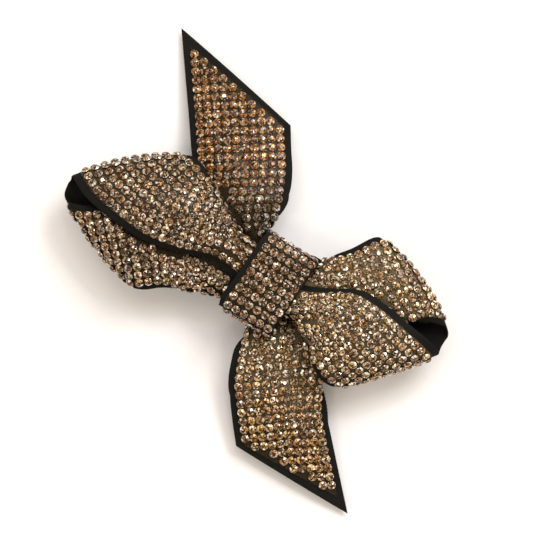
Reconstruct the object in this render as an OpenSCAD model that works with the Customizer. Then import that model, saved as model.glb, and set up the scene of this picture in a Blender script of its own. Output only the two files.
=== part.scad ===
// Hair bow of black ribbon under sheets of rhinestones, on a sprung alligator clip.
// +Z is up out of the bow's face, +X runs along the loops towards the right loop,
// and the origin is on the table under the middle of the whole bow.

/* [Ribbon and film] */
// Thickness of the woven ribbon
ribbon_t = 0.5; // [0.4:0.1:0.6]
// Thickness of the clear sheet that carries the stones
film_t = 0.25; // [0.15:0.05:0.3]
// Bare black border along each ribbon edge, as a share of the ribbon's width
border_share = 0.07; // [0.05:0.01:0.09]

/* [Stones] */
// Width of one stone across its flat back
stone_d = 2.7; // [2:0.1:2.8]
// Width of the flat table on top of a stone
table_d = 1.4; // [1:0.1:1.8]
// Height of a stone above the film
stone_h = 1.2; // [0.8:0.1:1.3]
// Distance from one stone to the next
stone_pitch = 3.0; // [3:0.1:3.6]
// Columns of stones across a ribbon
stone_columns = 10; // [6:1:10]

/* [Knot] */
// Width of the knot band, along the loops
band_w = 20.4; // [16:0.2:21]
// Half of the knot band's length across the bow
band_half_y = 13.5; // [13.5:0.1:14.5]
// Half of the knot band's height
band_half_z = 5.0; // [5:0.1:5.5]
// Columns of stones across the band
band_columns = 6; // [4:1:6]

/* [Clip] */
// Length of the clip in front of its pivot
jaw_front = 40; // [34:1:42]
// Length of the clip behind its pivot
jaw_rear = 20; // [16:1:22]
// Width of the upper jaw
jaw_w = 9.0; // [8.6:0.1:10]
// Thickness of the pressed steel
steel_t = 0.8; // [0.6:0.1:0.9]
// Radius of the pivot pin
pin_r = 0.9; // [0.7:0.1:1]
// Gap between the pin and the bores that turn on it
pin_gap = 0.05; // [0.03:0.01:0.08]
// Radius of the spring wire
wire_r = 0.35; // [0.3:0.05:0.4]

/* [Hidden] */

// The knot stands a little off the middle of the bow's outline
knot_at = [3.4, -2.05, 0];

// A ribbon strip is a list of stations along its length. Each station is a point on one
// edge, the point across from it on the other edge, and how far the ribbon swells between.
// Left loop: knot, front panel, fold, back panel, fold, second front panel, knot.
LEFT_LOOP = [
    [ -0.7,  -4.5, 19.0,   -0.7,   8.0, 18.8, 1.2],
    [ -9.0,  -4.0, 19.4,   -9.0,   8.2, 18.2, 1.6],
    [-20.0,  -4.2, 20.8,  -17.0,  10.4, 18.4, 3.4],
    [-30.0,  -8.0, 22.2,  -24.5,  14.0, 18.8, 4.6],
    [-41.0, -10.6, 22.8,  -32.0,  18.6, 18.6, 5.0],
    [-53.0, -10.6, 22.2,  -38.0,  21.0, 17.8, 4.4],
    [-64.0,  -9.2, 20.6,  -42.0,  21.4, 16.4, 3.2],
    [-70.0,  -6.8, 18.2,  -43.6,  20.8, 15.0, 2.4],
    [-72.2,  -5.8, 15.4,  -43.8,  20.2, 13.4, 2.0],
    [-72.0,  -7.2, 12.8,  -42.8,  18.2, 11.8, 1.4],
    [-72.2,  -8.4, 11.8,  -41.0,   8.0, 11.2, 1.0],
    [-72.0,  -9.8, 11.8,  -38.5,  -7.0, 11.2, 1.0],
    [-71.6, -11.4, 12.4,  -36.0, -22.0, 11.8, 1.2],
    [-70.8, -12.8, 14.4,  -35.0, -25.0, 13.6, 1.5],
    [-68.6, -12.9, 16.6,  -34.0, -25.4, 15.6, 1.8],
    [-62.0, -10.2, 17.6,  -31.0, -23.8, 16.6, 3.2],
    [-50.0,  -5.6, 17.6,  -26.0, -19.4, 16.8, 3.2],
    [-34.0,   0.6, 17.0,  -19.0, -15.4, 16.0, 2.6],
    [-18.0,   2.4, 16.2,  -10.4, -12.4, 15.3, 1.8],
    [ -0.7,   2.4, 15.2,   -0.7, -11.6, 14.9, 0.8]
];
// Right loop: the same path, turned half round
RIGHT_LOOP = [
    [ 0.7,  4.5, 19.0,    0.7,  -8.0, 18.8, 1.2],
    [10.0,  4.6, 19.4,   10.0,  -6.0, 18.2, 1.6],
    [20.0,  9.6, 20.8,   17.0,  -6.5, 18.4, 3.4],
    [29.0, 14.6, 22.4,   23.0, -11.0, 18.8, 4.6],
    [39.0, 15.0, 22.8,   29.0, -15.6, 18.6, 5.0],
    [49.0, 13.8, 22.2,   34.0, -17.4, 17.8, 4.4],
    [57.0, 12.9, 20.6,   37.4, -17.4, 16.4, 2.8],
    [61.0, 11.9, 18.2,   39.0, -16.6, 15.0, 1.4],
    [62.0, 11.0, 15.4,   39.4, -15.6, 13.4, 0.8],
    [61.8, 12.2, 12.8,   38.0, -13.0, 11.8, 1.2],
    [61.6, 13.8, 11.8,   33.8,  -2.0, 11.2, 1.2],
    [61.6, 15.6, 11.8,   29.4,  13.0, 11.2, 1.4],
    [61.6, 17.4, 12.4,   26.4,  27.6, 11.8, 1.8],
    [61.0, 18.8, 14.4,   25.4,  31.6, 13.6, 2.4],
    [59.4, 19.2, 16.6,   24.2,  32.6, 15.6, 2.6],
    [53.0, 17.0, 17.6,   22.0,  30.4, 16.6, 3.2],
    [42.0, 11.6, 17.6,   18.4,  23.6, 16.8, 3.2],
    [28.0,  4.0, 17.0,   14.4,  17.2, 16.0, 2.6],
    [15.0, -0.6, 16.2,   12.0,  12.2, 15.4, 1.8],
    [ 0.7, -2.4, 15.2,    0.7,  11.6, 14.9, 0.8]
];
// Tail strip: from the upper cut end, flat under the knot band, to the lower cut end
TAILS = [
    [-20.0,  48.0,  4.6,  -69.2,  55.7,  1.6, 1.2],
    [-15.4,  41.4,  6.2,  -60.0,  43.9,  3.4, 1.6],
    [-11.2,  35.4,  8.0,  -51.0,  32.4,  5.2, 2.0],
    [ -8.3,  29.0, 10.0,  -42.0,  20.8,  7.4, 2.4],
    [ -8.0,  22.0, 11.8,  -32.0,   9.6, 10.2, 2.4],
    [ -9.0,  15.4, 12.3,  -20.0,   1.6, 12.3, 0.3],
    [ -4.0,   9.8, 12.4,   -7.0,  -5.0, 12.4, 0.0],
    [  3.0,   5.8, 12.4,    1.4,  -9.8, 12.4, 0.0],
    [ 15.0,  -1.2, 12.2,    5.4, -16.4, 12.3, 0.0],
    [ 25.0,  -9.0, 11.0,    4.9, -24.4, 11.6, 1.8],
    [ 34.0, -17.6,  7.8,    7.2, -31.6, 10.0, 2.2],
    [ 44.6, -28.2,  5.2,   11.4, -38.4,  8.0, 1.8],
    [ 55.6, -39.2,  3.4,   16.6, -45.0,  6.2, 1.4],
    [ 66.8, -50.4,  1.6,   22.4, -51.6,  4.6, 1.0]
];
// Rings between two stations, and where film and stones begin and end along each strip
rings = 3;
LEFT_FILM = [[1, 18]];
RIGHT_FILM = [[5 / 3, 53 / 3]];
TAIL_FILM = [[1 / 3, 14 / 3], [26 / 3, 38 / 3]];
// Rows of stones are square to the ribbon on this line across it, given at both edges
LEFT_ROW = [3.45, 4.5];
RIGHT_ROW = [3.4, 4.6];
UPPER_ROW = [1.05, 3];
LOWER_ROW = [10, 11.3];

film_side = [border_share, 1 - border_share];
ribbon_cells = 8;
step_s = 0.02;
film_at = ribbon_t / 2;
stone_at = film_at + film_t;
stone_margin = 0.107;

// Knot band
band_x = -8.4;
band_z = 17.7;
band_power = 4;
band_sides = 48;
band_pitch = 3.6;
band_stone_rows = 12;
// Bare ribbon beside the band's film, on the left and on the right
band_border = [1.6, 0.4];
band_film_w = band_w - band_border[0] - band_border[1];
band_stone_inset = 0.3;
thread_r = 0.25;
thread_turns = 4;
waist_gap = 0.05;

// Clip levels, from the table up
pivot = [8, 0, 7.6];
plate_z = 10.2;
lining_t = 0.5;
glue_z = plate_z + steel_t + lining_t;
ear_y = jaw_w / 2 - steel_t;
ear_gap = 0.1;
ear_r = 2.3;
lower_ear_y = ear_y - ear_gap - steel_t;
lower_w = 2 * (lower_ear_y + steel_t);
pin_head_r = 1.5;
pin_head_t = 0.5;
tip_w = 6;
tooth_pitch = 1.6;
teeth = 5;
tooth_h = 0.8;
coil_r = pin_r + 0.65 + wire_r;
coil_turns = 4.5;
coil_steps = 12;
wire_sides = 8;
leg_x = 9;
handle_leg_z = 3.6;

// ---- Curves and strips ----

// Weights of a smooth curve through four points, from the second to the third
function weights(u) = [
    -u + 2 * u * u - u * u * u,
    2 - 5 * u * u + 3 * u * u * u,
    u + 4 * u * u - 3 * u * u * u,
    -u * u + u * u * u
] / 2;

// The station a distance s along a strip, counted in stations
function station(strip, s) =
    let (last = len(strip) - 1, i = min(floor(s), last - 1))
    weights(s - i) * [strip[max(i - 1, 0)], strip[i], strip[i + 1], strip[min(i + 2, last)]];

function edge_a(v) = [v[0], v[1], v[2]];
function edge_b(v) = [v[3], v[4], v[5]];
function ruled(v, t) = edge_a(v) * (1 - t) + edge_b(v) * t;
function unit(v) = v / norm(v);
function inside(strip, s) = min(max(s, 0), len(strip) - 1);

// A point on the swollen ribbon: s along it, t from 0 at edge A to 1 at edge B
function on_strip(strip, s, t) =
    let (
        here = station(strip, s),
        ahead = station(strip, inside(strip, s + step_s)),
        back = station(strip, inside(strip, s - step_s)),
        out = unit(cross(edge_b(here) - edge_a(here), ruled(ahead, t) - ruled(back, t)))
    )
    ruled(here, t) + out * here[6] * 4 * t * (1 - t);

function outward(strip, s, t) =
    unit(cross(
        on_strip(strip, s, min(t + step_s, 1)) - on_strip(strip, s, max(t - step_s, 0)),
        on_strip(strip, inside(strip, s + step_s), t) - on_strip(strip, inside(strip, s - step_s), t)
    ));

// Places across the ribbon where the mesh has lines, with the film's two edges among them
function across() = concat(
    [0],
    [for (k = [0 : ribbon_cells]) film_side[0] + (film_side[1] - film_side[0]) * k / ribbon_cells],
    [1]
);
function film_across() = [for (k = [1 : ribbon_cells + 1]) across()[k]];
function ring_places(from, to) = [for (k = [0 : round((to - from) * rings)]) from + k / rings];

// A sheet with thickness that follows the strip between two heights off its middle
module sheet(strip, s_list, t_list, low, high) {
    rows = len(s_list);
    cols = len(t_list);
    layer = rows * cols;
    points = [
        for (h = [low, high])
            for (s = s_list)
                for (t = t_list)
                    on_strip(strip, s, t) + outward(strip, s, t) * h
    ];
    function at(i, j, k) = k * layer + i * cols + j;
    faces = concat(
        [for (i = [0 : rows - 2]) for (j = [0 : cols - 2])
            each [[at(i, j, 0), at(i + 1, j + 1, 0), at(i + 1, j, 0)],
                  [at(i, j, 0), at(i, j + 1, 0), at(i + 1, j + 1, 0)],
                  [at(i, j, 1), at(i + 1, j, 1), at(i + 1, j + 1, 1)],
                  [at(i, j, 1), at(i + 1, j + 1, 1), at(i, j + 1, 1)]]],
        [for (i = [0 : rows - 2])
            each [[at(i, 0, 0), at(i + 1, 0, 0), at(i + 1, 0, 1)],
                  [at(i, 0, 0), at(i + 1, 0, 1), at(i, 0, 1)],
                  [at(i, cols - 1, 0), at(i + 1, cols - 1, 1), at(i + 1, cols - 1, 0)],
                  [at(i, cols - 1, 0), at(i, cols - 1, 1), at(i + 1, cols - 1, 1)]]],
        [for (j = [0 : cols - 2])
            each [[at(0, j, 0), at(0, j + 1, 1), at(0, j + 1, 0)],
                  [at(0, j, 0), at(0, j, 1), at(0, j + 1, 1)],
                  [at(rows - 1, j, 0), at(rows - 1, j + 1, 0), at(rows - 1, j + 1, 1)],
                  [at(rows - 1, j, 0), at(rows - 1, j + 1, 1), at(rows - 1, j, 1)]]]
    );
    polyhedron(points, faces);
}

module strip_ribbon(strip) {
    sheet(strip, ring_places(0, len(strip) - 1), across(), -film_at, film_at);
}

module strip_film(strip, spans) {
    for (span = spans)
        sheet(strip, ring_places(span[0], span[1]), film_across(), film_at, stone_at);
}

// ---- Stones ----

module stone() {
    cylinder(h = stone_h, d1 = stone_d, d2 = table_d, $fn = 24);
}

module stone_on(place, out) {
    translate(place)
        rotate([0, acos(out.z), atan2(out.y, out.x)])
            stone();
}

// Distances walked along a column, paired with the stations reached
function walked(strip, t, s_list) =
    let (spots = [for (s = s_list) on_strip(strip, s, t)])
    [for (k = 0, way = 0; k < len(s_list);
          way = way + (k + 1 < len(s_list) ? norm(spots[k + 1] - spots[k]) : 0), k = k + 1)
        [way, s_list[k]]];

// How far apart two columns lie, square to the ribbon's length
function column_gap(strip, s, t) =
    let (
        wide = on_strip(strip, s, t + step_s) - on_strip(strip, s, t - step_s),
        long = on_strip(strip, inside(strip, s + step_s), t) - on_strip(strip, inside(strip, s - step_s), t)
    )
    norm(cross(wide, unit(long))) / (2 * step_s) * (1 - 2 * stone_margin) / (stone_columns - 1);

// Stones one pitch apart along each column of a strip, counted both ways from the square row.
// Where the ribbon is gathered, columns that would crowd each other are left out.
module strip_stones(strip, span, row) {
    s_list = [for (s = [span[0] : 0.1 : span[1]]) s];
    for (column = [0 : stone_columns - 1]) {
        t = stone_margin + (1 - 2 * stone_margin) * column / (stone_columns - 1);
        table = walked(strip, t, s_list);
        start = lookup(row[0] * (1 - t) + row[1] * t, [for (pair = table) [pair[1], pair[0]]]);
        whole = table[len(table) - 1][0];
        for (way = [start % stone_pitch : stone_pitch : whole]) {
            s = lookup(way, table);
            out = outward(strip, s, t);
            stride = ceil((stone_d + 0.01) / column_gap(strip, s, t));
            if (way > stone_d / 2 && way < whole - stone_d / 2 && column % stride == 0)
                stone_on(on_strip(strip, s, t) + out * stone_at, out);
        }
    }
}

// ---- Knot ----

// Closed outline of the knot band around the waist, in Y and Z, grown by a distance
function signed_power(v, p) = sign(v) * pow(abs(v), p);
function waist_point(angle, grow) = [
    (band_half_y + grow) * signed_power(cos(angle), 2 / band_power),
    band_z + (band_half_z + grow) * signed_power(sin(angle), 2 / band_power)
];
function waist(from, to, grow) = [
    for (k = [0 : band_sides])
        waist_point(from + (to - from) * k / band_sides, grow)
];

// Turns a Y-Z outline into a band along X
module band(from_x, width) {
    translate([from_x, 0, 0])
        rotate([90, 0, 90])
            linear_extrude(width)
                children();
}

module knot_band_ribbon() {
    color("#16150f")
        translate(knot_at)
            band(band_x, band_w)
                difference() {
                    polygon(waist(0, 360, 0));
                    polygon(waist(0, 360, -ribbon_t));
                }
}

// The film covers the top and both sides, and stops before the underside
film_from = -20;
film_to = 200;

module knot_film() {
    color("#c9c2b4")
        translate(knot_at)
            band(band_x + band_border[0], band_film_w)
                polygon(concat(
                    waist(film_from, film_to, film_t),
                    [for (k = [band_sides : -1 : 0]) waist(film_from, film_to, 0)[k]]
                ));
}

// Distances walked round the band's outside, paired with the angles reached
function waist_walk() =
    let (spots = waist(film_from, film_to, film_t))
    [for (k = 0, way = 0; k <= band_sides;
          way = way + (k < band_sides ? norm(spots[k + 1] - spots[k]) : 0), k = k + 1)
        [way, film_from + (film_to - film_from) * k / band_sides]];

module knot_stones() {
    table = waist_walk();
    whole = table[len(table) - 1][0];
    first = (whole - (band_stone_rows - 1) * band_pitch) / 2;
    column_pitch = (band_film_w - stone_d - 2 * band_stone_inset) / (band_columns - 1);
    first_x = band_x + band_border[0] + band_stone_inset + stone_d / 2;
    color("#a07c55")
        translate(knot_at)
            for (row = [0 : band_stone_rows - 1], column = [0 : band_columns - 1]) {
                angle = lookup(first + row * band_pitch, table);
                here = waist_point(angle, film_t);
                ahead = waist_point(angle + 1, film_t);
                along = unit(ahead - here);
                stone_on([first_x + column * column_pitch, here[0], here[1]], [0, along[1], -along[0]]);
            }
}

// ---- Ribbons, films and stones of the bow ----

module left_loop_ribbon() {
    color("#16150f")
        translate(knot_at)
            strip_ribbon(LEFT_LOOP);
}

module right_loop_ribbon() {
    color("#16150f")
        translate(knot_at)
            strip_ribbon(RIGHT_LOOP);
}

module tail_ribbon() {
    color("#16150f")
        translate(knot_at)
            strip_ribbon(TAILS);
}

module left_loop_film() {
    color("#c9c2b4")
        translate(knot_at)
            strip_film(LEFT_LOOP, LEFT_FILM);
}

module right_loop_film() {
    color("#c9c2b4")
        translate(knot_at)
            strip_film(RIGHT_LOOP, RIGHT_FILM);
}

module tail_film() {
    color("#c9c2b4")
        translate(knot_at)
            strip_film(TAILS, TAIL_FILM);
}

module left_loop_stones() {
    color("#a07c55")
        translate(knot_at)
            strip_stones(LEFT_LOOP, LEFT_FILM[0], LEFT_ROW);
}

module right_loop_stones() {
    color("#a07c55")
        translate(knot_at)
            strip_stones(RIGHT_LOOP, RIGHT_FILM[0], RIGHT_ROW);
}

module tail_stones() {
    color("#b0702f")
        translate(knot_at) {
            strip_stones(TAILS, TAIL_FILM[0], UPPER_ROW);
            strip_stones(TAILS, TAIL_FILM[1], LOWER_ROW);
        }
}

// Turns of thread that gather the ribbons at the waist, inside the knot band
module binding_thread() {
    depth = ribbon_t + waist_gap + thread_r;
    turn_pitch = 1.4;
    color("#100f0c")
        translate(knot_at)
            for (turn = [0 : thread_turns - 1])
                band(band_x + band_w / 2 + (turn - (thread_turns - 1) / 2) * turn_pitch - thread_r,
                     2 * thread_r)
                    difference() {
                        polygon(waist(0, 360, -depth + thread_r));
                        polygon(waist(0, 360, -depth - thread_r));
                    }
}

// ---- Clip ----

// Turns an X-Z outline into a slab across Y, centred on the clip
module slab(width, at_y = 0) {
    translate([0, at_y + width / 2, 0])
        rotate([90, 0, 0])
            linear_extrude(width)
                children();
}

module across_y(radius, from_y, to_y) {
    translate([pivot.x, to_y, pivot.z])
        rotate([90, 0, 0])
            cylinder(h = to_y - from_y, r = radius, $fn = 48);
}

// Plan of a jaw: full width at the back, narrow and round at the tip
module jaw_plan(width, from_x, to_x) {
    tip_r = tip_w / 2;
    neck = from_x + (to_x - from_x) * 0.45;
    union() {
        translate([from_x + tip_r, 0])
            circle(r = tip_r, $fn = 48);
        polygon([
            [from_x + tip_r, -tip_r], [neck, -width / 2], [to_x, -width / 2],
            [to_x, width / 2], [neck, width / 2], [from_x + tip_r, tip_r]
        ]);
    }
}

module upper_plate(from_z, thickness) {
    translate([0, 0, from_z])
        linear_extrude(thickness)
            jaw_plan(jaw_w, pivot.x - jaw_front, pivot.x + jaw_rear);
}

module ear_outline(top_z) {
    union() {
        translate([pivot.x, pivot.z])
            circle(r = ear_r, $fn = 48);
        polygon([
            [pivot.x - ear_r, pivot.z], [pivot.x + ear_r, pivot.z],
            [pivot.x + ear_r * 1.6, top_z], [pivot.x - ear_r * 1.6, top_z]
        ]);
    }
}

module clip_upper_jaw() {
    color("#b9bcbd")
        translate(knot_at)
            difference() {
                union() {
                    upper_plate(plate_z, steel_t);
                    for (side = [-1, 1])
                        slab(steel_t, side * (ear_y + steel_t / 2))
                            ear_outline(plate_z + steel_t / 2);
                }
                across_y(pin_r, -jaw_w, jaw_w);
            }
}

// Side view of the lower jaw: a straight bed for the hair in front of the pivot, then a rise
// to the toothed tip, and a straight handle behind the pivot
tip_x = pivot.x - jaw_front;
end_x = pivot.x + jaw_rear;
tip_z = plate_z - steel_t - tooth_h - 0.1;
belly_z = 4.0;
end_z = 0;
LOWER_LINE = [
    [end_x, end_z], [pivot.x + 4, 3.4], [pivot.x - 4, belly_z], [pivot.x - 22, belly_z + 1],
    [pivot.x - 27, 6.6], [tip_x + tooth_pitch * teeth + 1, tip_z], [tip_x, tip_z]
];

module lower_side() {
    polygon(concat(
        LOWER_LINE,
        [for (k = [len(LOWER_LINE) - 1 : -1 : 0]) LOWER_LINE[k] + [0, steel_t]]
    ));
}

module lower_teeth() {
    for (k = [0 : teeth - 1])
        polygon([
            [tip_x + k * tooth_pitch, tip_z + steel_t - 0.1],
            [tip_x + (k + 1) * tooth_pitch, tip_z + steel_t - 0.1],
            [tip_x + (k + 0.5) * tooth_pitch, tip_z + steel_t + tooth_h]
        ]);
}

module clip_lower_jaw() {
    color("#b9bcbd")
        translate(knot_at)
            difference() {
                union() {
                    intersection() {
                        slab(jaw_w)
                            union() {
                                lower_side();
                                lower_teeth();
                            }
                        linear_extrude(plate_z)
                            jaw_plan(lower_w, tip_x, end_x);
                    }
                    for (side = [-1, 1])
                        slab(steel_t, side * (lower_ear_y + steel_t / 2))
                            union() {
                                translate([pivot.x, pivot.z])
                                    circle(r = ear_r - 0.3, $fn = 48);
                                polygon([
                                    [pivot.x - ear_r + 0.3, pivot.z], [pivot.x + ear_r - 0.3, pivot.z],
                                    [pivot.x + ear_r + 1, belly_z], [pivot.x - ear_r - 1, belly_z]
                                ]);
                            }
                }
                across_y(pin_r + pin_gap, -jaw_w, jaw_w);
            }
}

module clip_pin() {
    color("#a7aaab")
        translate(knot_at) {
            across_y(pin_r, -jaw_w / 2, jaw_w / 2);
            across_y(pin_head_r, -jaw_w / 2 - pin_head_t, -jaw_w / 2);
            across_y(pin_head_r, jaw_w / 2, jaw_w / 2 + pin_head_t);
        }
}

// Torsion spring: a leg under the upper plate, the coil round the pin, a leg on the handle
coil_half = coil_turns * (2 * wire_r + 0.1) / 2;
SPRING_PATH = concat(
    [[pivot.x + leg_x, coil_half, plate_z - wire_r - 0.1]],
    [for (k = [0 : coil_turns * coil_steps])
        let (angle = 90 + k * 360 / coil_steps)
        [
            pivot.x + coil_r * cos(angle),
            coil_half - 2 * coil_half * k / (coil_turns * coil_steps),
            pivot.z + coil_r * sin(angle)
        ]],
    [[pivot.x + leg_x, -coil_half, handle_leg_z]]
);

module tube(path, radius, sides) {
    count = len(path);
    function way(i) = unit(path[min(i + 1, count - 1)] - path[max(i - 1, 0)]);
    points = [
        for (i = [0 : count - 1])
            let (ahead = way(i), side = unit(cross(ahead, [0, 1, 0.01])), up = cross(side, ahead))
            for (k = [0 : sides - 1])
                path[i] + radius * (cos(k * 360 / sides) * side + sin(k * 360 / sides) * up)
    ];
    faces = concat(
        [[for (k = [0 : sides - 1]) k]],
        [for (i = [0 : count - 2]) for (k = [0 : sides - 1])
            each [[i * sides + k, (i + 1) * sides + k, (i + 1) * sides + (k + 1) % sides],
                  [i * sides + k, (i + 1) * sides + (k + 1) % sides, i * sides + (k + 1) % sides]]],
        [[for (k = [sides - 1 : -1 : 0]) (count - 1) * sides + k]]
    );
    polyhedron(points, faces);
}

module clip_spring() {
    color("#8f9294")
        translate(knot_at)
            tube(SPRING_PATH, wire_r, wire_sides);
}

module clip_lining() {
    color("#1b1a15")
        translate(knot_at)
            upper_plate(plate_z + steel_t, lining_t);
}

module glue_pad() {
    pad_l = band_w - 8;
    pad_w = jaw_w - 1;
    // Stops just short of the tail strip, which lies under the band
    pad_t = band_z - band_half_z - ribbon_t - glue_z - 0.25;
    color("#e8e2d0")
        translate(knot_at)
            translate([band_x + band_w / 2 - pad_l / 2, -pad_w / 2, glue_z])
                cube([pad_l, pad_w, pad_t]);
}

left_loop_ribbon();
right_loop_ribbon();
tail_ribbon();
knot_band_ribbon();
left_loop_film();
right_loop_film();
tail_film();
knot_film();
left_loop_stones();
right_loop_stones();
tail_stones();
knot_stones();
binding_thread();
glue_pad();
clip_lining();
clip_upper_jaw();
clip_lower_jaw();
clip_spring();
clip_pin();
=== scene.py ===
# Visual model of a rhinestone ribbon bow on an alligator clip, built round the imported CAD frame.
import math

import bpy
import numpy as np
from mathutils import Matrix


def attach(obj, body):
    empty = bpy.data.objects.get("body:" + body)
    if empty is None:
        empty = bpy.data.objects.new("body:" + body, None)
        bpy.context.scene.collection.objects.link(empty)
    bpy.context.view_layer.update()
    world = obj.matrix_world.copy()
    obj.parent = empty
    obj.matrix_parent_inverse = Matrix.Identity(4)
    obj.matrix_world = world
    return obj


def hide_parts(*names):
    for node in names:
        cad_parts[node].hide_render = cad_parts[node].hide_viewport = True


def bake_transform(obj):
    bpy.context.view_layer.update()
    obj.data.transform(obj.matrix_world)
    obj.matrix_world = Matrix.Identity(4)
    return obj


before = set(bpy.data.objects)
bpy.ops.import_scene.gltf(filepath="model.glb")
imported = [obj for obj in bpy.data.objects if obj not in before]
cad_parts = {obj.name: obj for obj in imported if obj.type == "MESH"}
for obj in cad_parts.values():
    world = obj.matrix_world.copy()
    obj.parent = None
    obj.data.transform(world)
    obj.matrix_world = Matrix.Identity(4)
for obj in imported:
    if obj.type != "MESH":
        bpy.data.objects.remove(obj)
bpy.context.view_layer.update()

MM = 0.001
KNOT = np.array([3.4, -2.05, 0.0])  # the knot's place in the frame; meshes are made in mm from it
rng = np.random.default_rng(7)


# ---------------------------------------------------------------- camera and light

# Metres and degrees: the spot looked at, the camera's turn and distance, and the width of its view
VIEW_X, VIEW_Y, VIEW_TURN = 0.00165, 0.00218, 33.0
VIEW_PLANE, VIEW_DISTANCE, VIEW_WIDTH = 0.010, 1.6, 0.1777
SENSOR = 36.0


def look_down():
    """A camera straight above the bow, with a long lens."""
    data = bpy.data.cameras.new("camera")
    data.lens = SENSOR * VIEW_DISTANCE / VIEW_WIDTH
    data.sensor_width = SENSOR
    data.clip_start = 0.01
    camera = bpy.data.objects.new("camera", data)
    camera.location = (VIEW_X, VIEW_Y, VIEW_PLANE + VIEW_DISTANCE)
    camera.rotation_euler = (0, 0, math.radians(VIEW_TURN))
    bpy.context.scene.collection.objects.link(camera)
    bpy.context.scene.camera = camera


def soft_light(name, azimuth, elevation, distance, size, power, colour):
    """An area light facing the bow; azimuth is counted anticlockwise from the picture's right."""
    data = bpy.data.lights.new(name, "AREA")
    data.shape = "SQUARE"
    data.size = size
    data.energy = power
    data.color = colour
    light = bpy.data.objects.new(name, data)
    a, e = math.radians(azimuth + VIEW_TURN), math.radians(elevation)
    aim = np.array([math.cos(a) * math.cos(e), math.sin(a) * math.cos(e), math.sin(e)])
    light.location = aim * distance
    light.rotation_euler = (math.pi / 2 - e, 0, a + math.pi / 2)
    bpy.context.scene.collection.objects.link(light)


def studio_world(colour, strength):
    world = bpy.data.worlds.new("studio")
    bpy.context.scene.world = world
    world.use_nodes = True
    background = world.node_tree.nodes["Background"]
    background.inputs["Color"].default_value = (*colour, 1)
    background.inputs["Strength"].default_value = strength


look_down()
soft_light("key", 50, 47, 2.2, 1.0, 29.5, (0.98, 0.99, 1.01))
soft_light("side", 178, 40, 2.2, 1.0, 4.5, (1.0, 0.98, 0.95))
soft_light("top", 98, 63, 2.2, 1.2, 8.0, (0.96, 0.99, 1.04))
# Small lamps that make the facets glint and add little else
for turn, lift in ((20, 55), (85, 60), (120, 42), (200, 62), (300, 60)):
    soft_light("glint_%d" % turn, turn, lift, 2.0, 0.11, 1.7, (1.0, 0.97, 0.92))
studio_world((1.0, 0.86, 0.73), 0.62)
bpy.context.scene.view_settings.view_transform = "Standard"


# ---------------------------------------------------------------- materials

def new_material(name, finish):
    """A material whose shader has the even settings in finish; also its nodes, links and shader."""
    material = bpy.data.materials.new(name)
    material.use_nodes = True
    nodes = material.node_tree.nodes
    shader = nodes["Principled BSDF"]
    for key, value in finish.items():
        shader.inputs[key].default_value = value
    return material, nodes, material.node_tree.links, shader


def add(nodes, kind, **values):
    """A node with its properties or inputs set by name."""
    node = nodes.new(kind)
    for key, value in values.items():
        if hasattr(node, key):
            setattr(node, key, value)
        else:
            node.inputs[key].default_value = value
    return node


def add_noise(nodes, links, scale, detail):
    """Noise in the object's own metres."""
    coords = add(nodes, "ShaderNodeTexCoord")
    noise = add(nodes, "ShaderNodeTexNoise", Scale=scale, Detail=detail)
    links.new(coords.outputs["Object"], noise.inputs["Vector"])
    return noise


def add_bump(nodes, links, shader, texture, strength, distance):
    bump = add(nodes, "ShaderNodeBump", Strength=strength, Distance=distance)
    links.new(texture.outputs["Fac"], bump.inputs["Height"])
    links.new(bump.outputs["Normal"], shader.inputs["Normal"])


def add_two_tones(nodes, links, texture, dark, light):
    """A ramp from a dark colour to a light one, driven by a texture."""
    ramp = add(nodes, "ShaderNodeValToRGB")
    ramp.color_ramp.elements[0].color = (*dark, 1)
    ramp.color_ramp.elements[1].color = (*light, 1)
    links.new(texture.outputs["Fac"], ramp.inputs["Fac"])
    return ramp


def grosgrain():
    """Woven ribbon: the ribs are in the mesh, and the threads across them are a fine bump."""
    black = (0.0062, 0.0056, 0.004)
    material, nodes, links, shader = new_material("black_grosgrain", {
        "Roughness": 0.72, "Specular IOR Level": 0.12})
    patches = add_two_tones(nodes, links, add_noise(nodes, links, 140.0, 4.0),
                            [c * 0.65 for c in black], [c * 1.5 for c in black])
    links.new(patches.outputs["Color"], shader.inputs["Base Color"])
    add_bump(nodes, links, shader, add_noise(nodes, links, 2600.0, 3.0), 0.5, 0.0001)
    return material


def clear_film():
    """Thin clear sheet whose tint in the mesh gives its own colour, lightened in places by a painted
    sheen.
    """
    material, nodes, links, shader = new_material("transfer_film", {
        "Roughness": 0.16, "Alpha": 0.36, "Specular IOR Level": 0.1})
    tint = add(nodes, "ShaderNodeAttribute", attribute_name="tint")
    links.new(tint.outputs["Color"], shader.inputs["Base Color"])
    add_bump(nodes, links, shader, add_noise(nodes, links, 420.0, 2.0), 0.35, 0.0003)
    return material


def cut_glass():
    """Foil-backed glass: each facet's tint in the mesh paints the reflections seen in it, some of them
    painted glints, under a clear polished coat.
    """
    material, nodes, links, shader = new_material("smoked_topaz_glass", {
        "Metallic": 0.36, "Roughness": 0.14, "Specular IOR Level": 0.25,
        "Coat Weight": 0.6, "Coat Roughness": 0.03})
    tint = add(nodes, "ShaderNodeAttribute", attribute_name="tint")
    cloud = add_two_tones(nodes, links, add_noise(nodes, links, 900.0, 1.0), (0.55, 0.5, 0.45), (1, 1, 1))
    cloud.color_ramp.elements[0].position = 0.3
    cloud.color_ramp.elements[1].position = 0.6
    mix = add(nodes, "ShaderNodeMix", data_type="RGBA", blend_type="MULTIPLY")
    mix.inputs["Factor"].default_value = 1.0
    links.new(tint.outputs["Color"], mix.inputs["A"])
    links.new(cloud.outputs["Color"], mix.inputs["B"])
    links.new(mix.outputs["Result"], shader.inputs["Base Color"])
    return material


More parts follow.
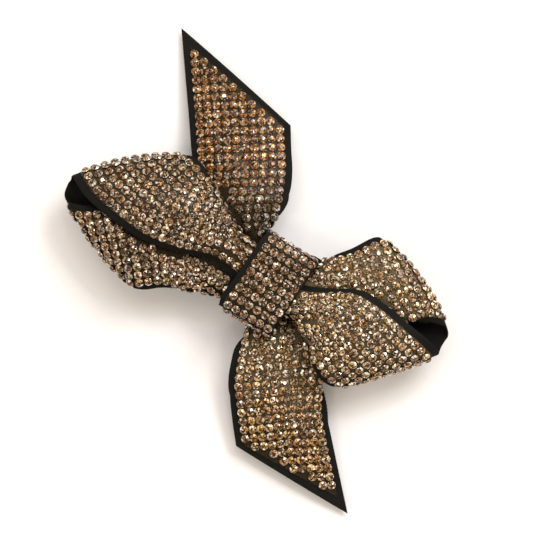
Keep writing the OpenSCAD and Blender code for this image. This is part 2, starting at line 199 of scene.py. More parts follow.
def pressed_steel(name, colour, roughness):
    """Plated steel with a fine grain along the clip and smudges in its gloss."""
    material, nodes, links, shader = new_material(name, {"Base Color": (*colour, 1), "Metallic": 1.0})
    coords = add(nodes, "ShaderNodeTexCoord")
    stretch = add(nodes, "ShaderNodeMapping", Scale=(60.0, 2200.0, 2200.0))
    grain = add(nodes, "ShaderNodeTexNoise", Scale=1.0, Detail=4.0)
    links.new(coords.outputs["Object"], stretch.inputs["Vector"])
    links.new(stretch.outputs["Vector"], grain.inputs["Vector"])
    add_bump(nodes, links, shader, grain, 0.15, 0.00005)
    smudge = add_noise(nodes, links, 260.0, 3.0)
    rough = add(nodes, "ShaderNodeMapRange")
    rough.inputs["To Min"].default_value = roughness - 0.08
    rough.inputs["To Max"].default_value = roughness + 0.14
    links.new(smudge.outputs["Fac"], rough.inputs["Value"])
    links.new(rough.outputs["Result"], shader.inputs["Roughness"])
    return material


def hot_glue():
    material, nodes, links, shader = new_material("hot_glue", {
        "Roughness": 0.25, "Subsurface Weight": 0.3, "Subsurface Radius": (0.002, 0.0018, 0.0012)})
    cloud = add_two_tones(nodes, links, add_noise(nodes, links, 300.0, 2.0),
                          (0.66, 0.61, 0.48), (0.86, 0.82, 0.7))
    links.new(cloud.outputs["Color"], shader.inputs["Base Color"])
    return material


RIBBON = grosgrain()
FILM = clear_film()
GLASS = cut_glass()
STEEL = pressed_steel("nickel_steel", (0.62, 0.61, 0.59), 0.3)
WIRE = pressed_steel("spring_wire", (0.46, 0.46, 0.47), 0.24)
GLUE = hot_glue()
FLOOR, _, _, _ = new_material("white_sweep", {"Base Color": (0.93, 0.925, 0.925, 1), "Roughness": 0.9})


# ---------------------------------------------------------------- meshes

def new_piece(name, points, faces, material, body, slot, node, smooth=True, tint=None):
    """A piece in place of a CAD node, from points in mm; tint is one colour for each face."""
    mesh = bpy.data.meshes.new(name)
    mesh.from_pydata(((np.asarray(points) + KNOT) * MM).tolist(), [], faces)
    mesh.materials.append(material)
    mesh.polygons.foreach_set("use_smooth", np.full(len(mesh.polygons), smooth))
    if tint is not None:
        layer = mesh.color_attributes.new("tint", "FLOAT_COLOR", "CORNER")
        corners = np.zeros(len(mesh.polygons), int)
        mesh.polygons.foreach_get("loop_total", corners)
        layer.data.foreach_set("color", np.repeat(tint, corners, axis=0).ravel())
    mesh.update()
    piece = bpy.data.objects.new(name, mesh)
    bpy.context.scene.collection.objects.link(piece)
    # A piece given no body rides on none
    if body:
        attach(piece, body)
    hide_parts(node)
    return piece


def joined(parts):
    """The points and faces of several meshes as one."""
    faces, shift = [], 0
    for part_points, part_faces in parts:
        faces += [[k + shift for k in face] for face in part_faces]
        shift += len(part_points)
    return np.concatenate([part_points for part_points, _ in parts]), faces


def grid_faces(rows, columns, start=0, flip=False, wrap_rows=False):
    """Quads over a grid of points stored row by row."""
    i = np.arange(rows if wrap_rows else rows - 1)[:, None]
    j = np.arange(columns - 1)[None, :]
    a = i * columns + j
    b = (i + 1) % rows * columns + j
    quads = np.stack([a, b, b + 1, a + 1], axis=-1).reshape(-1, 4) + start
    return quads[:, ::-1].tolist() if flip else quads.tolist()


def thick_sheet(top, bottom, wrap_rows=False):
    """Points and quads of a closed sheet between two grids of points."""
    rows, columns = top.shape[:2]
    size = rows * columns
    index = np.arange(size).reshape(rows, columns)
    faces = (grid_faces(rows, columns, 0, False, wrap_rows)
             + grid_faces(rows, columns, size, True, wrap_rows))
    rims = [index[:, 0][::-1], index[:, -1]]
    if not wrap_rows:
        rims += [index[0], index[-1][::-1]]
    for rim in rims:
        ahead = np.roll(rim, -1) if wrap_rows else rim[1:]
        here = rim if wrap_rows else rim[:-1]
        faces += np.stack([here, ahead, ahead + size, here + size], axis=-1).tolist()
    return np.concatenate([top.reshape(-1, 3), bottom.reshape(-1, 3)]), faces


def unit(v):
    return v / np.maximum(np.linalg.norm(v, axis=-1, keepdims=True), 1e-9)


def grid_normals(grid):
    return unit(np.cross(np.gradient(grid, axis=1), np.gradient(grid, axis=0)))


def walk(points):
    """The length walked to each point of a line."""
    return np.concatenate([[0], np.cumsum(np.linalg.norm(np.diff(points, axis=0), axis=1))])


# ---------------------------------------------------------------- sizes, in mm

RIBBON_W, RIBBON_T = 34.5, 0.5
RIB_PITCH, RIB_H = 0.9, 0.07
BORDER = 2.5  # bare ribbon beside the sheet of stones
FILM_T = 0.22
FILM_LOW = RIBBON_T / 2 + RIB_H + 0.02  # the sheet's underside, from the ribbon's middle
STONE_BASE = FILM_LOW + FILM_T - 0.02
STONE_R, STONE_H, PITCH, COLUMNS = 1.44, 1.06, 3.0, 10
MIN_APART = 2.1  # stones nearer than this would cut into each other

# The knot band: its left edge, its width, its halves along Y and Z, its middle, how square it is
BAND_X, BAND_W, BAND_Y, BAND_Z, BAND_MID, BAND_POWER = -8.4, 20.4, 13.5, 5.0, 17.7, 4

# The clip's upper jaw, pivot and lengths, as in the CAD model
PLATE_Z, STEEL_T, LINING_T = 10.2, 0.8, 0.5
PIVOT_X, PIVOT_Z, JAW_FRONT, JAW_REAR = 8.0, 7.6, 40.0, 20.0
JAW_W, TIP_W = 9.0, 6.0


# ---------------------------------------------------------------- ribbon strips

# Columns of a station
EDGE_A, EDGE_B, CROWN, SHARE = slice(0, 3), slice(3, 6), 6, 7
# Stations as in the CAD model: a point on edge A, the point across from it on edge B, how far the
# ribbon swells between them, and how much of the spare width is tucked under at edge A.
LEFT_LOOP = np.array([
    [-0.7, -4.5, 19.0, -0.7, 8.0, 18.8, 1.2, 0.2],
    [-9.0, -4.0, 19.4, -9.0, 8.2, 18.2, 1.6, 0.05],
    [-20.0, -4.2, 20.8, -17.0, 10.4, 18.4, 3.4, 0.0],
    [-30.0, -8.0, 22.2, -24.5, 14.0, 18.8, 4.6, 0.0],
    [-41.0, -10.6, 22.8, -32.0, 18.6, 18.6, 5.0, 0.0],
    [-53.0, -10.6, 22.2, -38.0, 21.0, 17.8, 4.4, 0.0],
    [-64.0, -9.2, 20.6, -42.0, 21.4, 16.4, 3.2, 0.0],
    [-70.0, -6.8, 18.2, -43.6, 20.8, 15.0, 2.4, 0.0],
    [-72.2, -5.8, 15.4, -43.8, 20.2, 13.4, 2.0, 0.0],
    [-72.0, -7.2, 12.8, -42.8, 18.2, 11.8, 1.4, 0.0],
    [-72.2, -8.4, 11.8, -41.0, 8.0, 11.2, 1.0, 0.0],
    [-72.0, -9.8, 11.8, -38.5, -7.0, 11.2, 1.0, 0.0],
    [-71.6, -11.4, 12.4, -36.0, -22.0, 11.8, 1.2, 0.0],
    [-70.8, -12.8, 14.4, -35.0, -25.0, 13.6, 1.5, 0.5],
    [-68.6, -12.9, 16.6, -34.0, -25.4, 15.6, 1.8, 1.0],
    [-62.0, -10.2, 17.6, -31.0, -23.8, 16.6, 3.2, 1.0],
    [-50.0, -5.6, 17.6, -26.0, -19.4, 16.8, 3.2, 0.9],
    [-34.0, 0.6, 17.0, -19.0, -15.4, 16.0, 2.6, 0.6],
    [-18.0, 2.4, 16.2, -10.4, -12.4, 15.3, 1.8, 0.5],
    [-0.7, 2.4, 15.2, -0.7, -11.6, 14.9, 0.8, 0.5],
])
RIGHT_LOOP = np.array([
    [0.7, 4.5, 19.0, 0.7, -8.0, 18.8, 1.2, 0.2],
    [10.0, 4.6, 19.4, 10.0, -6.0, 18.2, 1.6, 0.05],
    [20.0, 9.6, 20.8, 17.0, -6.5, 18.4, 3.4, 0.0],
    [29.0, 14.6, 22.4, 23.0, -11.0, 18.8, 4.6, 0.0],
    [39.0, 15.0, 22.8, 29.0, -15.6, 18.6, 5.0, 0.0],
    [49.0, 13.8, 22.2, 34.0, -17.4, 17.8, 4.4, 0.0],
    [57.0, 12.9, 20.6, 37.4, -17.4, 16.4, 2.8, 0.0],
    [61.0, 11.9, 18.2, 39.0, -16.6, 15.0, 1.4, 0.0],
    [62.0, 11.0, 15.4, 39.4, -15.6, 13.4, 0.8, 0.0],
    [61.8, 12.2, 12.8, 38.0, -13.0, 11.8, 1.2, 0.0],
    [61.6, 13.8, 11.8, 33.8, -2.0, 11.2, 1.2, 0.0],
    [61.6, 15.6, 11.8, 29.4, 13.0, 11.2, 1.4, 0.0],
    [61.6, 17.4, 12.4, 26.4, 27.6, 11.8, 1.8, 0.0],
    [61.0, 18.8, 14.4, 25.4, 31.6, 13.6, 2.4, 0.5],
    [59.4, 19.2, 16.6, 24.2, 32.6, 15.6, 2.6, 1.0],
    [53.0, 17.0, 17.6, 22.0, 30.4, 16.6, 3.2, 1.0],
    [42.0, 11.6, 17.6, 18.4, 23.6, 16.8, 3.2, 0.95],
    [28.0, 4.0, 17.0, 14.4, 17.2, 16.0, 2.6, 0.8],
    [15.0, -0.6, 16.2, 12.0, 12.2, 15.4, 1.8, 0.6],
    [0.7, -2.4, 15.2, 0.7, 11.6, 14.9, 0.8, 0.5],
])
TAILS = np.array([
    [-20.0, 48.0, 4.6, -69.2, 55.7, 1.6, 1.2, 0.5],
    [-15.4, 41.4, 6.2, -60.0, 43.9, 3.4, 1.6, 0.5],
    [-11.2, 35.4, 8.0, -51.0, 32.4, 5.2, 2.0, 0.4],
    [-8.3, 29.0, 10.0, -42.0, 20.8, 7.4, 2.4, 0.3],
    [-8.0, 22.0, 11.8, -32.0, 9.6, 10.2, 2.4, 0.3],
    [-9.0, 15.4, 12.3, -20.0, 1.6, 12.3, 0.3, 0.4],
    [-4.0, 9.8, 12.4, -7.0, -5.0, 12.4, 0.0, 0.5],
    [3.0, 5.8, 12.4, 1.4, -9.8, 12.4, 0.0, 0.5],
    [15.0, -1.2, 12.2, 5.4, -16.4, 12.3, 0.0, 0.7],
    [25.0, -9.0, 11.0, 4.9, -24.4, 11.6, 1.8, 0.9],
    [34.0, -17.6, 7.8, 7.2, -31.6, 10.0, 2.2, 0.9],
    [44.6, -28.2, 5.2, 11.4, -38.4, 8.0, 1.8, 0.5],
    [55.6, -39.2, 3.4, 16.6, -45.0, 6.2, 1.4, 0.5],
    [66.8, -50.4, 1.6, 22.4, -51.6, 4.6, 1.0, 0.5],
])


def station(strip, s):
    """The smooth curve through the stations, at places s counted in stations."""
    last = len(strip) - 1
    s = np.clip(np.asarray(s, float), 0, last)
    i = np.minimum(np.floor(s).astype(int), last - 1)
    u = (s - i)[..., None]
    a, b, c, d = strip[np.maximum(i - 1, 0)], strip[i], strip[i + 1], strip[np.minimum(i + 2, last)]
    return 0.5 * (2 * b + (c - a) * u + (2 * a - 5 * b + 4 * c - d) * u**2
                  + (3 * b - a - 3 * c + d) * u**3)


ARCH = np.linspace(0, 1, 61)  # places along the arch across a strip
AHEAD = 0.03  # stations ahead and behind, for a strip's direction
# An edge that rolls under: how far in it starts, its radius, its whole turn, and the spare width
# from which it starts fully in
ROLL_IN, CURL_R, CURL_TURN, FULL_ROLL = 1.3, 1.3, math.radians(165), 3.0
SHEET_W = np.linspace(BORDER, RIBBON_W - BORDER, 31)  # mesh lines across the sheet of stones
# Gathers beside the band: their height, width, and where they start and are highest
PLEAT_H, PLEAT_W, PLEAT_START, PLEAT_REACH = 0.8, 8.4, 6.0, 10.0


def pleats(strip, here, w):
    """Gathers that swell up outside the knot band and fade along the ribbon."""
    middle = (here[0:2] + here[3:5]) / 2
    away = max(np.linalg.norm(middle) - PLEAT_START, 0) / PLEAT_REACH
    swell = away**2 * math.exp(1 - away**2)
    return PLEAT_H * swell * np.cos(2 * math.pi * w / PLEAT_W + strip[0, 1])


def curl(past, start_angle):
    """How far outward and downward the ribbon goes when it rolls under, past the arch's end."""
    turn = np.minimum(start_angle + past / CURL_R, CURL_TURN)
    straight = np.maximum(past - CURL_R * (CURL_TURN - start_angle), 0)
    out = CURL_R * (np.sin(turn) - np.sin(start_angle)) + straight * math.cos(CURL_TURN)
    down = CURL_R * (np.cos(start_angle) - np.cos(turn)) + straight * math.sin(CURL_TURN)
    return out, down


def ribbon_points(strip, s_list, w_list):
    """Middle surface of a strip: an arch between its two edges whose spare width rolls under."""
    s_list, w = np.asarray(s_list, float), np.asarray(w_list, float)
    v = station(strip, s_list)
    ahead, back = station(strip, s_list + AHEAD), station(strip, s_list - AHEAD)
    across = v[:, EDGE_B] - v[:, EDGE_A]
    side = unit(across)
    forward = (ahead - back)[:, EDGE_A] + (ahead - back)[:, EDGE_B]
    up = unit(np.cross(side, forward))
    chord = np.linalg.norm(across, axis=1)
    crown, share = v[:, CROWN], np.clip(v[:, SHARE], 0, 1)
    roll_a = ROLL_IN * share
    roll_b = ROLL_IN * (1 - share) * np.clip((RIBBON_W - chord) / FULL_ROLL, 0, 1)
    start = v[:, EDGE_A] + side * roll_a[:, None]
    chord = chord - roll_a - roll_b
    end_angle = np.arctan2(4 * crown, chord)
    out = np.empty((len(s_list), len(w), 3))
    for k in range(len(s_list)):
        flat, high = chord[k] * ARCH, 4 * crown[k] * ARCH * (1 - ARCH)
        way = np.concatenate([[0], np.cumsum(np.hypot(np.diff(flat), np.diff(high)))])
        spare = max(RIBBON_W - way[-1], 0.0)
        tuck_a, tuck_b = spare * share[k], spare * (1 - share[k])
        along = np.interp((w - tuck_a) / (RIBBON_W - spare) * way[-1], way, ARCH)
        x, z = chord[k] * along, 4 * crown[k] * along * (1 - along)
        past_a, past_b = np.maximum(tuck_a - w, 0), np.maximum(w - (RIBBON_W - tuck_b), 0)
        out_a, down_a = curl(past_a, end_angle[k])
        out_b, down_b = curl(past_b, end_angle[k])
        x = x - np.where(past_a > 0, out_a, 0) + np.where(past_b > 0, out_b, 0)
        z = z - np.where(past_a > 0, down_a, 0) - np.where(past_b > 0, down_b, 0)
        out[k] = start[k] + x[:, None] * side[k] + (z + pleats(strip, v[k], w))[:, None] * up[k]
    return out


def even_places(strip, start, end, step):
    """Places along a strip that lie about one step apart, with the length walked to each."""
    fine = np.linspace(start, end, 600)
    grid = ribbon_points(strip, fine, [RIBBON_W * 0.25, RIBBON_W * 0.5, RIBBON_W * 0.75])
    gaps = np.linalg.norm(np.diff(grid, axis=0), axis=2).mean(axis=1)
    way = np.concatenate([[0], np.cumsum(gaps)])
    count = int(round(way[-1] / step)) + 1
    walked = np.linspace(0, way[-1], count)
    return np.interp(walked, way, fine), walked


def ribbon_piece(name, strip, node):
    """The woven ribbon: ribs across it, and thinner selvedges."""
    border = [0, 0.3, 0.9, 1.7, BORDER]
    w = np.concatenate([border, SHEET_W[1:-1], [RIBBON_W - b for b in border[::-1]]])
    s, walked = even_places(strip, 0, len(strip) - 1, RIB_PITCH / 3)
    middle = ribbon_points(strip, s, w)
    normals = grid_normals(middle)
    rib = RIB_H * np.cos(2 * math.pi * walked / RIB_PITCH)[:, None, None]
    edge = 1 - 0.5 * np.exp(-np.minimum(w, RIBBON_W - w) / 0.2)[None, :, None]
    top = middle + normals * (RIBBON_T / 2 * edge + rib)
    bottom = middle - normals * (RIBBON_T / 2 * edge - rib)
    points, faces = thick_sheet(top, bottom)
    return new_piece(name, points, faces, RIBBON, "bow", "ribbon", node)


SHEET_STEP = 1.2
# The sheet's own colour, and a pale tint that paints a sheen on it
FILM_CLEAR, FILM_PAINTED_SHEEN = np.array([0.047, 0.031, 0.014]), np.array([0.3, 0.235, 0.135])


def film_tints(painted_sheen):
    """Colours of faces from how much painted sheen lightens them, 0 to 1."""
    painted_sheen = np.asarray(painted_sheen)[:, None]
    return np.column_stack([FILM_CLEAR * (1 - painted_sheen) + FILM_PAINTED_SHEEN * painted_sheen, np.ones(len(painted_sheen))])


def film_piece(name, strip, spans, painted_sheen, node):
    """The sheet on one strip; painted_sheen lists stations and how much painted sheen lightens the sheet
    there.
    """
    sheets, painted_sheens = [], []
    for start, end in spans:
        s, _ = even_places(strip, start, end, SHEET_STEP)
        middle = ribbon_points(strip, s, SHEET_W)
        normals = grid_normals(middle)
        points, faces = thick_sheet(middle + normals * (FILM_LOW + FILM_T), middle + normals * FILM_LOW)
        rows = np.array(faces)[:, 0] % (len(s) * len(SHEET_W)) // len(SHEET_W)
        painted_sheens.append(np.interp(s, *zip(*painted_sheen))[rows])
        sheets.append((points, faces))
    return new_piece(name, *joined(sheets), FILM, "bow", "film", node,
                     tint=film_tints(np.concatenate(painted_sheens)))


# ---------------------------------------------------------------- stones

GIRDLE_Z, STAR_R, STAR_Z, TABLE_R = 0.42, 1.14, 0.78, 0.62
# Kinds of facet, from the girdle up to the table, and the flat back
GIRDLE, LOWER, KITE, STAR, TABLE, BACK = range(6)


def ring_of(count, radius, z, turn=0.0):
    angle = (np.arange(count) + turn) * 2 * math.pi / count
    return np.stack([radius * np.cos(angle), radius * np.sin(angle), np.full(count, z)], axis=1)


def cut_stone():
    """One brilliant: foiled girdle, sixteen lower facets, eight kites, eight stars and the table."""
    points = np.concatenate([
        ring_of(16, STONE_R - 0.08, 0.0), ring_of(16, STONE_R, GIRDLE_Z),
        ring_of(8, STAR_R, STAR_Z, 0.5), ring_of(8, TABLE_R, STONE_H), [[0, 0, STONE_H]],
    ])
    base, girdle, star, table, centre = 0, 16, 32, 40, 48
    faces, kinds = [], []
    for k in range(16):
        n = (k + 1) % 16
        faces.append([base + k, base + n, girdle + n, girdle + k])
        kinds.append(GIRDLE)
    for k in range(8):
        n = (k + 1) % 8
        here, mid, last = girdle + 2 * k, girdle + 2 * k + 1, girdle + (2 * k + 2) % 16
        faces += [[here, mid, star + k], [mid, last, star + k]]
        kinds += [LOWER, LOWER]
        faces.append([last, star + n, table + n, star + k])
        kinds.append(KITE)
        faces.append([star + k, table + n, table + k])
        kinds.append(STAR)
        faces.append([table + k, table + n, centre])
        kinds.append(TABLE)
    faces.append([base + k for k in range(15, -1, -1)])
    kinds.append(BACK)
    return points, faces, np.array(kinds)


# Facet tints from dark to light, in linear light, that paint the facets' reflections, the last one
# painted glints; each stone blends the three sets
TAUPE = np.array([[0.014, 0.007, 0.002], [0.15, 0.056, 0.012], [0.24, 0.172, 0.108],
                  [0.49, 0.43, 0.345], [1.0, 0.97, 0.92]])
COPPER = np.array([[0.01, 0.004, 0.001], [0.17, 0.048, 0.004], [0.48, 0.18, 0.028],
                   [0.8, 0.46, 0.15], [1.0, 0.95, 0.8]])
GOLD = np.array([[0.012, 0.006, 0.001], [0.11, 0.054, 0.008], [0.33, 0.2, 0.052],
                 [0.66, 0.5, 0.22], [1.0, 0.96, 0.75]])
# How often each kind of facet takes each tint
CHANCE = {GIRDLE: (0.6, 0.3, 0.1, 0, 0), LOWER: (0.08, 0.14, 0.26, 0.3, 0.22),
          KITE: (0.16, 0.3, 0.3, 0.14, 0.1), STAR: (0.22, 0.32, 0.28, 0.12, 0.06),
          TABLE: (0.58, 0.2, 0.12, 0.06, 0.04), BACK: (1, 0, 0, 0, 0)}


def stones_piece(name, spots, outs, shares, painted_light, node):
    """All stones of one group as a mesh; shares are how copper and how golden each stone is, and
    painted_light scales their tints as painted light and shade.
    """
    points, faces, kinds = cut_stone()
    count = len(spots)
    outs = unit(outs + rng.normal(0, 0.045, outs.shape))
    helper = np.where(np.abs(outs[:, 2:3]) > 0.9, [[1.0, 0, 0]], [[0, 0, 1.0]])
    side = unit(np.cross(outs, helper))
    other = np.cross(outs, side)
    turn = rng.uniform(0, 2 * math.pi, count)[:, None]
    x_axis = side * np.cos(turn) + other * np.sin(turn)
    y_axis = np.cross(outs, x_axis)
    placed = (spots[:, None, :] + points[None, :, 0:1] * x_axis[:, None, :]
              + points[None, :, 1:2] * y_axis[:, None, :] + points[None, :, 2:3] * outs[:, None, :])
    all_faces = [[k + n * len(points) for k in face] for n in range(count) for face in faces]
    copper, gold = shares[:, 0, None, None], shares[:, 1, None, None]
    tint = np.empty((count, len(faces), 4))
    tint[..., 3] = 1
    for kind, chance in CHANCE.items():
        here = np.flatnonzero(kinds == kind)
        pick = rng.choice(5, (count, len(here)), p=np.array(chance) / sum(chance))
        tint[:, here, :3] = TAUPE[pick] * (1 - copper - gold) + COPPER[pick] * copper + GOLD[pick] * gold
    # Painted light and shade scales the group's tints; the random part is each stone's own tone
    tint[..., :3] *= painted_light * rng.uniform(0.75, 1.25, (count, 1, 1))
    return new_piece(name, placed.reshape(-1, 3), all_faces, GLASS, "bow", "stone", node,
                     smooth=False, tint=tint.reshape(-1, 4))


def tint_shares(spots, copper, gold):
    """Each stone's share of copper and of gold, around the given ones."""
    shares = np.column_stack([np.broadcast_to(share, len(spots)) for share in (copper, gold)])
    shares = shares * rng.uniform(0.5, 1.5, shares.shape)
    return shares / np.maximum(shares.sum(axis=1, keepdims=True), 1)


def stone_places(strip, first, start, end, row_at, inset):
    """Stones one pitch apart on every column, in rows square to the ribbon at one station."""
    columns = [first + k * PITCH for k in range(COLUMNS)]
    s = np.linspace(start, end, 500)
    lines = [ribbon_points(strip, s, [w])[:, 0] for w in columns]
    middle = COLUMNS // 2
    anchors = [None] * COLUMNS
    anchors[middle] = int(np.argmin(abs(s - row_at)))
    for k in list(range(middle + 1, COLUMNS)) + list(range(middle - 1, -1, -1)):
        beside = k - 1 if k > middle else k + 1
        spot = lines[beside][anchors[beside]]
        anchors[k] = int(np.argmin(np.linalg.norm(lines[k] - spot, axis=1)))
    found = []
    for k, line in enumerate(lines):
        way = walk(line)
        for walked in np.arange(way[anchors[k]] % PITCH, way[-1], PITCH):
            if inset[0] < walked < way[-1] - inset[1]:
                found.append((np.interp(walked, way, s), columns[k]))
    return found


def under_band(spot):
    return BAND_X + 0.6 < spot[0] < BAND_X + BAND_W - 0.6 and abs(spot[1]) < BAND_Y + 0.4


def place_stones(strip, first, spans):
    """Spots and outward directions for a strip's stones, from its first column's distance from edge A
    and from spans, each a start, an end and the station of its square row."""
    spots, outs = [], []
    step_s, step_w = 0.06, 1.0  # the patch that gives a stone's direction, in stations and mm
    for start, end, row_at in spans:
        # Stones keep clear of the sheet's own ends, but run on where two spans meet at a fold
        inset = [0.0 if any(place in span[:2] for span in spans if span[:2] != (start, end)) else STONE_R
                 for place in (start, end)]
        for s, w in stone_places(strip, first, start, end, row_at, inset):
            patch = ribbon_points(strip, [s - step_s, s, s + step_s], [w - step_w, w, w + step_w])
            out = unit(np.cross(patch[1, 2] - patch[1, 0], patch[2, 1] - patch[0, 1]))
            spot = patch[1, 1] + out * STONE_BASE
            crowded = bool(spots) and np.min(np.linalg.norm(np.array(spots) - spot, axis=1)) < MIN_APART
            if not under_band(spot) and not crowded:
                spots.append(spot)
                outs.append(out)
    return np.array(spots), np.array(outs)


def clear_of(spots, strip, edge, end, painted_shade_width):
    """Which stones stay: those within painted_shade_width, seen from above, of the edge of a front panel
    that lies over them are left off, so the bare black ribbon paints the shade beside that edge.
    """
    line = station(strip, np.linspace(0.5, end, 80))[:, edge]
    apart = np.linalg.norm(spots[:, None, :2] - line[None, :, :2], axis=2)
    below = line[apart.argmin(axis=1), 2] - spots[:, 2]
    return (apart.min(axis=1) > painted_shade_width) | (below < 0.5)


# ---------------------------------------------------------------- loops and tails

# Stations where the sheets begin and end, and where a loop folds
LOOP_SPAN = (0.2, 18.8)
TAIL_SPANS = ((0.33, 5.9), (7.3, 12.67))
FOLD_1, FOLD_2 = 8.3, 13.2
# Stations, each with how much painted sheen lightens the sheet there
LEFT_PAINTED_SHEEN = ((0, 0.05), (7, 0.15), (9, 0))
RIGHT_PAINTED_SHEEN = ((0, 0.4), (3, 0.45), (6, 0.3), (9, 0.1), (13, 0.1), (15, 0.7), (18, 0.6))
TAIL_PAINTED_SHEEN = ((8, 0), (9, 0.6), (10.5, 0.5), (12, 0))
LOOP_FIRST_COLUMN, TAIL_FIRST_COLUMN = 4.2, 3.75


def loop_gems(name, strip, copper, gold, painted_light, painted_shade_width, node):
    spans = [(LOOP_SPAN[0], FOLD_1, 4.2), (FOLD_1, FOLD_2, 10.8), (FOLD_2, LOOP_SPAN[1], 15.2)]
    spots, outs = place_stones(strip, LOOP_FIRST_COLUMN, spans)
    # Stones beside the upper panel's edge are left off as painted shade
    keep = clear_of(spots, strip, EDGE_A, 4.5, painted_shade_width)
    spots, outs = spots[keep], outs[keep]
    return stones_piece(name, spots, outs, tint_shares(spots, copper, gold), painted_light, node)


def tail_gems_piece(name, node):
    """The upper tail turns copper towards its tip, and the lower tail is golden; painted shade darkens
    the upper tail near the knot, and painted light lightens the lower tail, most near the knot.
    """
    spans = [(*TAIL_SPANS[0], 2.0), (*TAIL_SPANS[1], 11.0)]
    spots, outs = place_stones(TAILS, TAIL_FIRST_COLUMN, spans)
    # Tail stones beside the loops' edges are left off as painted shade
    keep = clear_of(spots, LEFT_LOOP, EDGE_B, 3.4, 1.9) & clear_of(spots, RIGHT_LOOP, EDGE_B, 3.0, 1.9)
    spots, outs = spots[keep], outs[keep]
    upper = spots[:, 1] > 0
    # 0 within 20 mm of the knot, 1 from 45 mm on
    far = np.clip((np.linalg.norm(spots[:, :2], axis=1) - 20) / 25, 0, 1)
    shares = tint_shares(spots, np.where(upper, 0.97, 0.4) * far, np.where(upper, 0.1, 0.45))
    # Painted shade on the upper tail near the knot, and painted light on the lower tail
    painted_light = np.where(upper, 0.6 + 0.3 * far, 1.36 - 0.3 * far)[:, None, None]
    return stones_piece(name, spots, outs, shares, painted_light, node)


left_loop = ribbon_piece("left_loop", LEFT_LOOP, "left_loop_ribbon")
left_film = film_piece("left_loop_sheet", LEFT_LOOP, [LOOP_SPAN], LEFT_PAINTED_SHEEN, "left_loop_film")
right_loop = ribbon_piece("right_loop", RIGHT_LOOP, "right_loop_ribbon")
right_film = film_piece("right_loop_sheet", RIGHT_LOOP, [LOOP_SPAN], RIGHT_PAINTED_SHEEN, "right_loop_film")
tails = ribbon_piece("tails", TAILS, "tail_ribbon")
tail_film = film_piece("tail_sheets", TAILS, TAIL_SPANS, TAIL_PAINTED_SHEEN, "tail_film")
# The fifth number scales each loop's tints as painted light, lighter on the right loop; the sixth is the
# width of its painted shade band
left_gems = loop_gems("left_loop_gems", LEFT_LOOP, 0.2, 0.25, 0.97, 1.5, "left_loop_stones")
right_gems = loop_gems("right_loop_gems", RIGHT_LOOP, 0.08, 0.4, 1.38, 0.6, "right_loop_stones")
tail_gems = tail_gems_piece("tail_gems", "tail_stones")


# ---------------------------------------------------------------- knot

FILM_FROM, FILM_TO = -20, 200  # degrees round the band that the sheet covers


def waist_points(angles, grow):
    """The knot band's outline round the waist, in Y and Z."""
    c, s = np.cos(angles), np.sin(angles)
    y = (BAND_Y + grow) * np.sign(c) * np.abs(c) ** (2 / BAND_POWER)
    z = BAND_MID + (BAND_Z + grow) * np.sign(s) * np.abs(s) ** (2 / BAND_POWER)
    return np.stack([y, z], axis=-1)


def even_angles(start, end, count, grow=0.0):
    """Angles that lie evenly along the waist's outline, and its whole length."""
    fine = np.radians(np.linspace(start, end, 1500))
    way = walk(waist_points(fine, grow))
    return np.interp(np.linspace(0, way[-1], count), way, fine), way[-1]


def drawn_down(angle, x, y):
    """A point of the band with its edges wandering a little, and drawn down further at the left."""
    wander = (0.5 * np.sin(angle * 2 + 0.6) + 0.25 * np.sin(angle * 5)) * 0.8
    pull = 0.5 + 0.05 * (BAND_X + BAND_W - x)
    return x + wander, y + np.where(y < 0, -pull, 0.6) * (np.abs(y) / BAND_Y) ** 2


def band_grid(angles, xs, grow):
    """A grid of points round the band."""
    ring = waist_points(angles, grow)
    grid = np.empty((len(angles), len(xs), 3))
    grid[..., 0], grid[..., 1] = drawn_down(angles[:, None], np.asarray(xs)[None, :], ring[:, None, 0])
    grid[..., 2] = ring[:, None, 1]
    return grid


def band_piece():
    ribs = 90
    angles, _ = even_angles(0, 360, ribs * 3 + 1)
    angles = angles[:-1]
    border = [0, 0.3, 0.9]
    xs = BAND_X + np.concatenate([border, np.linspace(1.7, BAND_W - 1.7, 14),
                                  [BAND_W - b for b in border[::-1]]])
    rib = RIB_H * np.cos(2 * math.pi * np.arange(len(angles)) / 3)
    top, bottom = band_grid(angles, xs, -0.02), band_grid(angles, xs, -RIBBON_T)
    out = unit(top - bottom)
    points, faces = thick_sheet(bottom, top + out * rib[:, None, None], wrap_rows=True)
    return new_piece("knot_band", points, faces, RIBBON, "bow", "ribbon", "knot_band_ribbon")


def knot_film_piece():
    angles, _ = even_angles(FILM_FROM, FILM_TO, 90)
    xs = BAND_X + np.linspace(1.6, BAND_W - 0.4, 20)
    lift = 0.06
    points, faces = thick_sheet(band_grid(angles, xs, lift), band_grid(angles, xs, lift + FILM_T))
    return new_piece("knot_sheet", points, faces, FILM, "bow", "film", "knot_film",
                     tint=film_tints(np.zeros(len(faces))))


def knot_stones_piece():
    columns, pitch, first_x, lift = 6, 3.06, BAND_X + 3.2, 0.28
    steps = 1200
    angles, whole = even_angles(FILM_FROM, FILM_TO, steps, 0.3)
    rows = int(whole // pitch)
    ways = np.linspace(0, whole, steps)
    spots, outs = [], []
    for row in range(rows):
        angle = np.interp(whole / 2 + (row - (rows - 1) / 2) * pitch, ways, angles)
        here, ahead = waist_points(np.array([angle, angle + 0.01]), lift)
        along = unit(ahead - here)
        for column in range(columns):
            x, y = drawn_down(angle, first_x + column * pitch, here[0])
            spots.append([x + rng.normal(0, 0.06), y, here[1]])
            outs.append([0, along[1], -along[0]])
    spots, outs = np.array(spots), np.array(outs)
    # The knot's stones are lightened a little as painted light
    return stones_piece("knot_gems", spots, outs, tint_shares(spots, 0.15, 0.1), 1.07, "knot_stones")


knot_band, knot_sheet, knot_gems = band_piece(), knot_film_piece(), knot_stones_piece()


# ---------------------------------------------------------------- thread, lining, glue and spring

